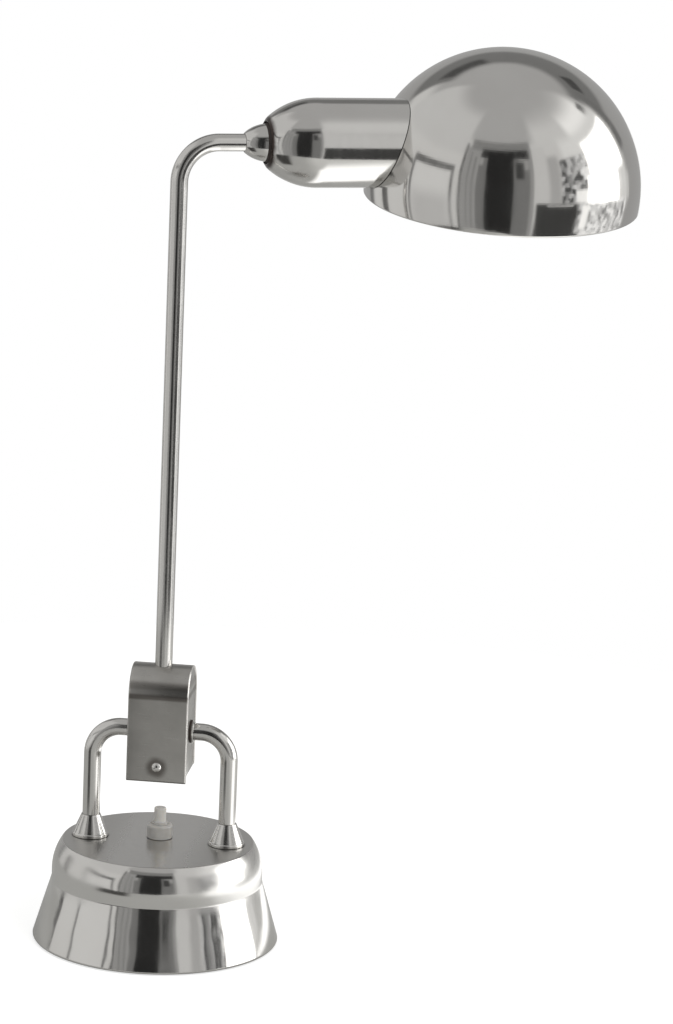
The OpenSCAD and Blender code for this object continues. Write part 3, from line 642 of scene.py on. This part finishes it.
ring_top = RING_H - 1.2
ring_side = [(BUTTON_R + 0.05, 0), (RING_R - 0.3, 0), (RING_R, 0.4)]
ring_side += arc((RING_R - 1.6, ring_top - 1.6), 1.6, 0, 90, 10)
ring_side += [(RING_COLLAR_R, ring_top), (RING_COLLAR_R, RING_H - 0.4)]
ring_side += arc((RING_COLLAR_R - 0.4, RING_H - 0.4), 0.4, 0, 90, 4)
ring_side += [(BUTTON_R + 0.05, RING_H)]
finished(
    turned(ring_side, Matrix.Translation((0, SWITCH_Y, TOP_Z)), 96, 0.15),
    "switch_ring_moulded", ring_urea, "base", ["switch_ring_nut"],
)

button_side = [(0, BUTTON_LOW_Z), (BUTTON_R, BUTTON_LOW_Z), (BUTTON_R, BUTTON_TOP_Z - 0.8)]
button_side += arc((BUTTON_R - 0.8, BUTTON_TOP_Z - 0.8), 0.8, 0, 90, 8) + [(0, BUTTON_TOP_Z)]
finished(
    turned(button_side, Matrix.Translation((0, SWITCH_Y, 0)), 72),
    "switch_button_moulded", urea, "button", ["switch_button"],
)

# Feet and bail

foot_side = [(TUBE_R, 0), (FOOT_R - 0.3, 0), (FOOT_R, 0.3), (FOOT_R, 1.4)]
foot_side += arc((FOOT_R - 1.2, 1.4), 1.2, 0, 55, 8)
foot_side += [(TUBE_R + 0.7, FOOT_H - 0.4), (TUBE_R + 0.5, FOOT_H), (TUBE_R, FOOT_H)]
for side, x in (("left", -FOOT_X), ("right", FOOT_X)):
    finished(
        turned(foot_side, Matrix.Translation((x, 0, TOP_Z)), 128),
        f"foot_{side}_turned", foot_chrome, "base", [f"foot_{side}"], 20,
    )
    inwards = Matrix.Diagonal((-1 if x > 0 else 1, 1, 1, 1))
    leg = Matrix.Translation((x, 0, 0)) @ inwards
    finished(
        bent_tube(LEG_END_Z, PIVOT_Z, BAIL_BEND, FOOT_X - BAIL_END_X, leg),
        f"bail_{side}_bent", chrome, "base", [f"bail_{side}"],
    )


def on_both_sides(outline, x, steps=96):
    """One bmesh of a turned ring on both sides of the bracket, its outline counted outwards from x."""
    both = bmesh.new()
    for side in (-1, 1):
        place = Matrix.Translation((side * x, 0, PIVOT_Z)) @ Matrix.Rotation(side * pi / 2, 4, "Y")
        one = turned(outline, place, steps, 0.1)
        held = bpy.data.meshes.new("one_side")
        one.to_mesh(held)
        one.free()
        both.from_mesh(held)
        bpy.data.meshes.remove(held)
    return both


def ring_outline(r, h, soft):
    """The outline of a ring round the tube with softened outer edges."""
    side = [(TUBE_R + 0.05, 0)] + arc((r - soft, soft), soft, -90, 0, 5)
    return side + arc((r - soft, h - soft), soft, 0, 90, 5) + [(TUBE_R + 0.05, h)]


finished(
    on_both_sides(ring_outline(WASHER_R, WASHER_T, 0.2), WASHER_X),
    "pivot_washers_pressed", fibre, "base", ["pivot_washers"],
)
finished(
    on_both_sides(ring_outline(RING_NUT_R, RING_NUT_T, 0.35), WASHER_X + WASHER_T),
    "pivot_nuts_turned", chrome, "base", ["pivot_nuts"],
)

# Bracket


def folded_strip():
    """The cover: one strip, up the front, over the round bend and down the back."""
    mesh = bmesh.new()
    ends = [mesh.verts.new((x * BRACKET_W / 2, -BEND_R, FRONT_LEG_Z)) for x in (-1, 1)]
    edges = [mesh.edges.new(ends)]
    edges = run_on(mesh, edges, Vector((0, 0, BEND_Z - FRONT_LEG_Z)))
    swept = bmesh.ops.spin(
        mesh,
        geom=edges + list(edges[0].verts),
        cent=(0, 0, BEND_Z),
        axis=(-1, 0, 0),
        angle=pi,
        steps=48,
    )["geom_last"]
    edges = [g for g in swept if isinstance(g, bmesh.types.BMEdge)]
    run_on(mesh, edges, Vector((0, 0, BACK_LEG_Z - BEND_Z)))
    bmesh.ops.recalc_face_normals(mesh, faces=mesh.faces)
    return mesh


strip = folded_strip()
middle = min(strip.faces, key=lambda f: f.calc_center_median().y)
if middle.normal.y > 0:
    bmesh.ops.reverse_faces(strip, faces=strip.faces)
bmesh.ops.solidify(strip, geom=list(strip.faces), thickness=SHEET)
rims = [e for e in strip.edges if e.is_manifold and e.calc_face_angle() > radians(60)]
bmesh.ops.bevel(strip, geom=rims, offset=0.5, segments=4, profile=0.5, affect="EDGES", material=-1)
bmesh.ops.recalc_face_normals(strip, faces=strip.faces)
bmesh.ops.transform(strip, matrix=millimetres(Matrix()), verts=strip.verts)
finished(strip, "bracket_cover_folded", steel, "bracket", ["bracket_cover"])

frame_r = BEND_R - SHEET - 0.05
sides = bmesh.new()
for side in (-1, 1):
    rim = arc((0, BEND_Z), frame_r, 0, 180, 40) + [(-frame_r, BACK_LEG_Z), (frame_r, BACK_LEG_Z)]
    verts = [sides.verts.new((side * (CHEEK_X - SHEET), y, z)) for y, z in rim]
    plate = sides.faces.new(verts)
    grown = bmesh.ops.extrude_face_region(sides, geom=[plate])["geom"]
    moved = [g for g in grown if isinstance(g, bmesh.types.BMVert)]
    bmesh.ops.translate(sides, vec=(side * SHEET, 0, 0), verts=moved)
web = bmesh.ops.create_cube(sides, size=1)["verts"]
bmesh.ops.scale(sides, vec=(2 * CHEEK_X - 2 * SHEET, SHEET, BEND_Z - 2 - BACK_LEG_Z), verts=web)
bmesh.ops.translate(sides, vec=(0, -frame_r + SHEET / 2, (BEND_Z - 2 + BACK_LEG_Z) / 2), verts=web)
rims = [e for e in sides.edges if e.is_manifold and e.calc_face_angle() > radians(60)]
bmesh.ops.bevel(sides, geom=rims, offset=0.25, segments=2, profile=0.5, affect="EDGES", material=-1)
bmesh.ops.recalc_face_normals(sides, faces=sides.faces)
bmesh.ops.transform(sides, matrix=millimetres(Matrix()), verts=sides.verts)
finished(sides, "bracket_frame_folded", steel, "bracket", ["bracket_frame"])

dome_r = (SCREW_HEAD_R ** 2 + SCREW_HEAD_H ** 2) / (2 * SCREW_HEAD_H)
screw_side = [(0, -SCREW_L), (SCREW_R, -SCREW_L), (SCREW_R, SHEET), (SCREW_HEAD_R, SHEET)]
screw_side += arc((0, SHEET + SCREW_HEAD_H - dome_r), dome_r, degrees(acos(SCREW_HEAD_R / dome_r)), 90, 12)
SCREW = Matrix.Translation((0, -BEND_R + SHEET, SCREW_Z)) @ Matrix.Rotation(pi / 2, 4, "X")
finished(
    turned(screw_side, SCREW, 64),
    "bracket_screw_domed", chrome, "bracket", ["bracket_screw"],
)

# Arm

finished(
    bent_tube(ROD_END_Z, ARM_Z, ARM_BEND, ARM_END, Matrix.Rotation(ARM_TURN, 4, "Z"), 48),
    "arm_tube_bent", chrome, "arm", ["arm_tube"],
)

bell_low = TUBE_R + 0.5
bell_rise = BELL_R - bell_low
chord = hypot(BELL_H, bell_rise)
lean = atan2(BELL_H, bell_rise)
half = asin(chord / 2 / BELL_CURVE)
back = sqrt(BELL_CURVE ** 2 - chord ** 2 / 4)
bell_middle = (bell_low + bell_rise / 2 - back * sin(lean), BELL_H / 2 + back * cos(lean))
bell_side = [(TUBE_R, 0), (bell_low - 0.2, 0)]
bell_side += arc(bell_middle, BELL_CURVE, degrees(lean - half) - 89, degrees(lean + half) - 90.6, 14)
bell_side += [(BELL_R - 0.3, BELL_H), (TUBE_R, BELL_H)]
finished(
    turned(bell_side, ARM @ Matrix.Translation((BELL_A, 0, 0)) @ LAID, 96),
    "arm_bell_turned", chrome, "arm", ["arm_bell"],
)

gasket_side = [(TUBE_R, 0), (BELL_R - 0.3, 0), (BELL_R, 0.3)]
gasket_side += [(LIP_R - 0.1, GASKET_T), (TUBE_R, GASKET_T)]
finished(
    turned(gasket_side, ARM @ Matrix.Translation((BELL_A + BELL_H, 0, 0)) @ LAID, 96),
    "head_gasket_pressed", fibre, "arm", ["head_gasket"],
)


def bulb_outline():
    """The glass from its neck to its crown."""
    crown = BULB_L - BULB_CAP_L - BULB_R
    side = [(0, 0), (BULB_NECK_R, 0)] + arc((BULB_NECK_R + BULB_FLARE, 2), BULB_FLARE, 180, 161, 10)
    return side + arc((0, crown), BULB_R, -28, 90, 40)[:-1] + [(0, crown + BULB_R)]


finished(
    turned(bulb_outline(), ARM @ Matrix.Translation((BULB_A + BULB_CAP_L, 0, 0)) @ LAID, 96),
    "bulb_glass_blown", opal, "arm", ["bulb_glass"],
)

# Head

nose_full = NOSE_A + NOSE_L


def nose_r(a):
    """Radius of the nose's outside at the distance a along the arm."""
    return HOUSING_R - NOSE_CURVE + sqrt(NOSE_CURVE ** 2 - (nose_full - a) ** 2)


NOSE_STEPS = 28
lip_end = nose_r(NOSE_A + 1)
outside = [(TUBE_R + 0.05, NOSE_A), (LIP_R + 0.1, NOSE_A), (LIP_R, LIP_A + 0.2)]
outside += [(LIP_R + 0.5, LIP_A), (lip_end - 1.6, NOSE_A - 0.7), (lip_end - 0.65, NOSE_A + 0.2)]
outside += [
    (nose_r(a), a) for a in (NOSE_A + 1 + (NOSE_L - 1) * i / NOSE_STEPS for i in range(NOSE_STEPS + 1))
]
housing_end = SHADE_A - SHADE_DROP
inner_nose = [
    (nose_r(a) - HOUSING_WALL, a)
    for a in (NOSE_A + 1.5 + (NOSE_L - 1.5) * i / NOSE_STEPS for i in range(NOSE_STEPS, -1, -1))
]
housing_side = outside + [(HOUSING_R, housing_end), (HOUSING_R - HOUSING_WALL, housing_end)] + inner_nose
housing_side += [(lip_end - 2.2, NOSE_A + HOUSING_WALL), (TUBE_R + 0.05, NOSE_A + HOUSING_WALL)]
housing = finished(
    turned(housing_side, HEAD @ LAID, 160, 0.6),
    "socket_housing_spun", housing_chrome, "head", ["socket_housing"],
)
ball_middle = HEAD @ Matrix.Translation((SHADE_A, 0, -SHADE_DROP))


def ball_side(r):
    """Half a circle from pole to pole, its ends right on the axis."""
    return [(0, -r)] + arc((0, 0), r, -90, 90, 120)[1:-1] + [(0, r)]


cut(housing, turned(ball_side(SHADE_R + 0.3), ball_middle, 240))

rim_angle = -degrees(asin(SHADE_SKIRT / SHADE_R))
hem_angle = -degrees(asin((SHADE_SKIRT - SHADE_HEM) / (SHADE_R - SHADE_WALL)))
shade_side = [(0, SHADE_R)] + arc((0, 0), SHADE_R, 90, rim_angle + 0.6, 110)[1:]
rim_r = SHADE_R * cos(radians(rim_angle))
shade_side += arc((rim_r - SHADE_WALL, -SHADE_SKIRT + SHADE_WALL), SHADE_WALL, -30, -150, 6)
shade_side += arc((0, 0), SHADE_R - 2 * SHADE_WALL, rim_angle + 0.6, hem_angle, 2)
shade_side += arc((0, 0), SHADE_R - SHADE_WALL, hem_angle, 90, 70)[:-1] + [(0, SHADE_R - SHADE_WALL)]
shade = finished(
    turned(shade_side, ball_middle, 240),
    "shade_spun", shade_chrome, "head", ["shade"],
)
port_low = SHADE_A - SHADE_R - 10
port_high = SHADE_A - SHADE_R + 40
port_side = [(0, port_low), (PORT_R, port_low), (PORT_R, port_high), (0, port_high)]
cut(shade, turned(port_side, HEAD @ LAID, 128))

# Camera: fitted to the photograph

IMAGE_H = 1024
FOCAL_PX = 4000
LOOK_AT = Vector((0.09642, 0.0, 0.26059))
DISTANCE = 2.27519
VIEW_AZ = radians(6.18)
VIEW_EL = radians(12.34)
ROLL = radians(2.37)

toward = Vector((sin(VIEW_AZ) * cos(VIEW_EL), -cos(VIEW_AZ) * cos(VIEW_EL), sin(VIEW_EL)))
level = Vector((cos(VIEW_AZ), sin(VIEW_AZ), 0))
upward = toward.cross(level)
right = cos(ROLL) * level + sin(ROLL) * upward
up = cos(ROLL) * upward - sin(ROLL) * level
view = bpy.data.cameras.new("camera")
view.sensor_width = 36
view.lens = FOCAL_PX * view.sensor_width / IMAGE_H
view.clip_end = 100
camera = bpy.data.objects.new("camera", view)
bpy.context.scene.collection.objects.link(camera)
turn = Matrix((right, up, toward)).transposed().to_4x4()
camera.matrix_world = Matrix.Translation(LOOK_AT + DISTANCE * toward) @ turn
bpy.context.scene.camera = camera

# Studio


def mirrored(tree):
    """The light path's node, and 1 for rays that come off metal or through glass."""
    ray = add(tree, "ShaderNodeLightPath")
    either = add(
        tree, "ShaderNodeMath", {"operation": "MAXIMUM"},
        {0: ray.outputs["Is Glossy Ray"], 1: ray.outputs["Is Transmission Ray"]},
    )
    return ray, either.outputs[0]


def turn_of(tree, place):
    """The angle of a place about Z, from the camera's side towards +X."""
    front = add(tree, "ShaderNodeMath", {"operation": "MULTIPLY"}, {0: place.outputs["Y"], 1: -1.0})
    return add(
        tree, "ShaderNodeMath", {"operation": "ARCTAN2"}, {0: place.outputs["X"], 1: front.outputs[0]}
    ).outputs[0]


def band(tree, value, low, high, edge):
    """1 where value lies from low to high, softly down to 0 over edge."""
    off = add(tree, "ShaderNodeMath", {"operation": "SUBTRACT"}, {0: value, 1: (low + high) / 2})
    off = add(tree, "ShaderNodeMath", {"operation": "ABSOLUTE"}, {0: off.outputs[0]})
    half = (high - low) / 2
    return add(
        tree, "ShaderNodeMapRange", EASED,
        {"Value": off.outputs[0], 1: half + edge / 2, 2: half - edge / 2, 3: 0.0, 4: 1.0},
    ).outputs[0]


world = bpy.data.worlds.new("studio")
bpy.context.scene.world = world
world.use_nodes = True
tree = world.node_tree
tree.nodes.clear()
look = add(tree, "ShaderNodeTexCoord").outputs["Generated"]
way = add(tree, "ShaderNodeSeparateXYZ", {}, {0: look})
azimuth = turn_of(tree, way)
height = way.outputs["Z"]

# Small things crowded on the shelves and the sill, some dark and some lit from the window behind
boxes = add(
    tree, "ShaderNodeTexVoronoi", {"distance": "CHEBYCHEV"},
    {"Vector": look, "Scale": 17.0, "Randomness": 0.9},
)
crowd = add(tree, "ShaderNodeSeparateXYZ", {}, {0: boxes.outputs["Color"]})
lit = add(
    tree, "ShaderNodeMapRange", {}, {"Value": azimuth, 1: radians(58), 2: radians(88), 3: -0.4, 4: 0.25}
)
crowded = add(tree, "ShaderNodeMath", {"operation": "ADD"}, {0: crowd.outputs[0], 1: lit.outputs[0]})
CLUTTER = add(
    tree, "ShaderNodeMapRange", {}, {"Value": crowded.outputs[0], 1: 0.1, 2: 1.0, 3: 0.08, 4: 1.25}
).outputs[0]

# The room as the metal sees it, later ones in front: azimuth in degrees from the camera's side towards +X,
# height as a sine, edge in degrees, brightness against white
ROOM = [
    ("ceiling", -190, 190, 0.66, 1.2, 8, 0.49),
    ("ceiling over the left wall", -122, -32, 0.5, 0.9, 6, 0.68),
    ("ceiling over the right wall", 34, 125, 0.55, 0.86, 12, 0.74),
    ("ceiling over the window", 78, 120, 0.6, 0.8, 9, 1.15),
    ("back wall", 128, 190, -0.5, 0.45, 6, 0.42),
    ("back wall", -190, -128, -0.5, 0.45, 6, 0.42),
    ("shelf over the back wall", 128, 190, 0.42, 0.76, 5, 0.22),
    ("shelf over the back wall", -190, -134, 0.42, 0.76, 5, 0.22),
    ("things on the shelf", 143, 156, 0.58, 0.68, 2, 0.08),
    ("things on the shelf", -165, -140, 0.62, 0.74, 4, 0.09),
    ("things on the shelf", 116, 124, 0.64, 0.72, 2, 0.12),
    ("dark curtain", 127, 140, 0.2, 0.68, 4, 0.2),
    ("soft wall round the window", 60, 130, -0.14, 0.64, 8, 0.9),
    ("left panel's dark rim", -79.5, -38, -0.7, 0.35, 1.2, 0.19),
    ("left panel", -77, -40.5, -0.7, 0.27, 1.2, 0.78),
    ("left panel in shade", -77, -40.5, -0.7, -0.05, 14, 0.62),
    ("things at the left", -113, -105, -0.6, 0.25, 2, 0.14),
    ("things at the left", -137, -130, -0.6, 0.2, 3, 0.22),
    ("post", -33, -30.6, -0.7, 0.63, 1, 0.14),
    ("wall by the post", -30.6, -18, -0.7, 0.6, 2, 0.38),
    ("fold in the wall", -26.5, -25, -0.7, 0.55, 1, 0.28),
    ("fold in the wall", -22, -20.5, -0.7, 0.5, 1, 0.26),
    ("head of the doorway", -28, 30, 0.58, 0.69, 2, 0.27),
    ("right jamb", 27, 31, -0.7, 0.62, 1, 0.36),
    ("left jamb", -18, -9, -0.7, 0.56, 1.5, 0.22),
    ("light patch on the jamb", -17.5, -14, 0.4, 0.52, 2, 0.42),
    ("inside the doorway", 13, 27.5, -0.7, 0.52, 1.5, 0.22),
    ("light patch in the doorway", 18, 27, 0.36, 0.5, 3, 0.4),
    ("hanging thing", 15.5, 22.5, 0.24, 0.46, 2.5, 0.06),
    ("dark lintel", -17, 28, 0.5, 0.6, 2, 0.045),
    ("doorway", -10, 13.5, -0.7, 0.58, 1.5, 0.026),
    ("right wall", 31, 44, -0.1, 0.62, 1.5, 0.7),
    ("right wall in shade", 44, 54, -0.1, 0.5, 5, 0.5),
    ("shelves", 55, 83, -0.1, 0.44, 2, CLUTTER),
    ("light at the foot of the shelves", 68, 84, -0.09, 0.05, 2, 1.3),
    ("cabinet", 33, 72, -0.7, -0.1, 2, 0.06),
    ("cabinet's bright top", 42, 66, -0.135, -0.115, 0.8, 0.7),
    ("things on the sill", 70, 128, -0.7, -0.1, 2, CLUTTER),
    ("glint on the sill", 75, 82, -0.4, -0.13, 2, 1.4),
    ("window", 84, 127, 0.14, 0.53, 3, 3.0),
    ("window", 80, 117, -0.11, 0.18, 3, 3.0),
    ("glare by the window", 119, 121.5, -0.1, 0.13, 2, 0.95),
    ("glare by the window", 125, 127, -0.12, 0.1, 2, 0.9),
    ("glare by the window", 131, 133, -0.12, 0.06, 2, 0.8),
    ("table beyond", -190, 190, -1.2, -0.6, 2.5, 0.52),
    ("white paper behind the lamp", 172, 190, -0.4, -0.04, 2, 1.0),
    ("white paper behind the lamp", -190, -166, -0.4, -0.04, 2, 1.0),
]
# Plain pale walls wherever none of them lies
picture = add(tree, "ShaderNodeRGB").outputs[0]
picture.default_value = (0.74, 0.735, 0.725, 1.0)
for thing, begins, ends, low, high, edge, bright in ROOM:
    wide = band(tree, azimuth, radians(begins), radians(ends), radians(edge))
    tall = band(tree, height, low, high, sin(radians(edge)))
    mask = add(tree, "ShaderNodeMath", {"operation": "MULTIPLY"}, {0: wide, 1: tall}).outputs[0]
    tone = bright if bright is CLUTTER else (bright, 0.995 * bright, 0.985 * bright, 1.0)
    laid = add(tree, "ShaderNodeMix", {**OF_COLOURS, "label": thing}, {0: mask, 6: picture, 7: tone})
    picture = laid.outputs[2]

soft = add(tree, "ShaderNodeBackground", {}, {"Color": (1.0, 1.0, 1.0, 1.0), "Strength": 0.66})
seen = add(tree, "ShaderNodeBackground", {}, {"Color": picture, "Strength": 1.0})
white = add(tree, "ShaderNodeBackground", {}, {"Color": (1.0, 1.0, 1.0, 1.0), "Strength": 1.0})
ray, shiny = mirrored(tree)
first = add(tree, "ShaderNodeMixShader", {}, {0: shiny, 1: soft.outputs[0], 2: seen.outputs[0]})
last = add(
    tree, "ShaderNodeMixShader", {},
    {0: ray.outputs["Is Camera Ray"], 1: first.outputs[0], 2: white.outputs[0]},
)
add(tree, "ShaderNodeOutputWorld", {}, {"Surface": last.outputs[0]})

# The floor: pale paper to the camera, painted lighter on the window's side; to the metal a table with
# painted window light at its right and a painted shadow at its left

FLOOR_R = 0.75

floor_mesh = bmesh.new()
bmesh.ops.create_circle(floor_mesh, cap_ends=True, segments=96, radius=FLOOR_R)
floor_data = bpy.data.meshes.new("floor")
floor_mesh.to_mesh(floor_data)
floor_mesh.free()
floor = bpy.data.objects.new("floor", floor_data)
bpy.context.scene.collection.objects.link(floor)
paper, tree, shader, where = material("matt_white_paper")
place = add(tree, "ShaderNodeSeparateXYZ", {}, {0: where})
# Painted light: the paper is coloured lighter towards +X, the window's side
window_side_light = add(tree, "ShaderNodeMapRange", EASED, {"Value": place.outputs["X"], 1: 0.05, 2: 0.3})
paper_tone = add(
    tree, "ShaderNodeMix", OF_COLOURS, {0: window_side_light.outputs[0], 6: colour("#c0c0be"), 7: colour("#e0e0de")}
)
shader.inputs["Roughness"].default_value = 0.9
ray, shiny = mirrored(tree)
# Painted light, seen only off metal and glass: a glowing pool of window light near the lamp and a bright
# streak beyond it
beside = add(
    tree, "ShaderNodeVectorMath", {"operation": "DOT_PRODUCT"}, {0: where, 1: (0.906, 0.42, 0.0)}
)
sunny = add(
    tree, "ShaderNodeMapRange", EASED,
    {"Value": beside.outputs["Value"], 1: 0.11, 2: 0.17, 3: 0.02, 4: 1.2},
)
off = add(tree, "ShaderNodeVectorMath", {"operation": "LENGTH"}, {0: where})
far = add(
    tree, "ShaderNodeMapRange", EASED, {"Value": off.outputs["Value"], 1: 0.24, 2: 0.3}
).outputs[0]
around = turn_of(tree, place)
streak = band(tree, around, radians(58), radians(96), radians(16))
shine = add(tree, "ShaderNodeMix", {}, {0: far, 2: sunny.outputs[0], 3: streak}).outputs[0]
glow = add(tree, "ShaderNodeMath", {"operation": "MULTIPLY"}, {0: shiny, 1: shine})
# Painted shadow, seen only off metal and glass: a dark strip on the table at the left beyond the lamp
shady = band(tree, around, radians(-52), radians(-20), radians(12))
far_shade = add(tree, "ShaderNodeMath", {"operation": "MULTIPLY"}, {0: shady, 1: far})
unlit = add(tree, "ShaderNodeMath", {"operation": "MULTIPLY"}, {0: far_shade.outputs[0], 1: shiny})
paper_tone = add(
    tree, "ShaderNodeMix", OF_COLOURS,
    {0: unlit.outputs[0], 6: paper_tone.outputs[2], 7: colour("#3c3b39")},
)
tree.links.new(paper_tone.outputs[2], shader.inputs["Base Color"])
# White to the camera, plus the glow of the painted window light
lift = add(
    tree, "ShaderNodeMath", {"operation": "MULTIPLY_ADD"},
    {0: ray.outputs["Is Camera Ray"], 1: 0.68, 2: glow.outputs[0]},
)
shader.inputs["Emission Color"].default_value = (1.0, 1.0, 1.0, 1.0)
tree.links.new(lift.outputs[0], shader.inputs["Emission Strength"])
floor_data.materials.append(paper)

# The window's light, from the right and in front

key = bpy.data.lights.new("key", "AREA")
key.energy = 26
key.size = 1.2
key.color = (1.0, 0.99, 0.97)
key_light = bpy.data.objects.new("key", key)
bpy.context.scene.collection.objects.link(key_light)
key_way = Vector((1.6, -1.2, 1.5))
key_turn = key_way.to_track_quat("Z", "Y").to_matrix().to_4x4()
key_light.matrix_world = Matrix.Translation((1.6, -1.2, 1.8)) @ key_turn
key_light.visible_glossy = False

bpy.context.scene.view_settings.view_transform = "Standard"
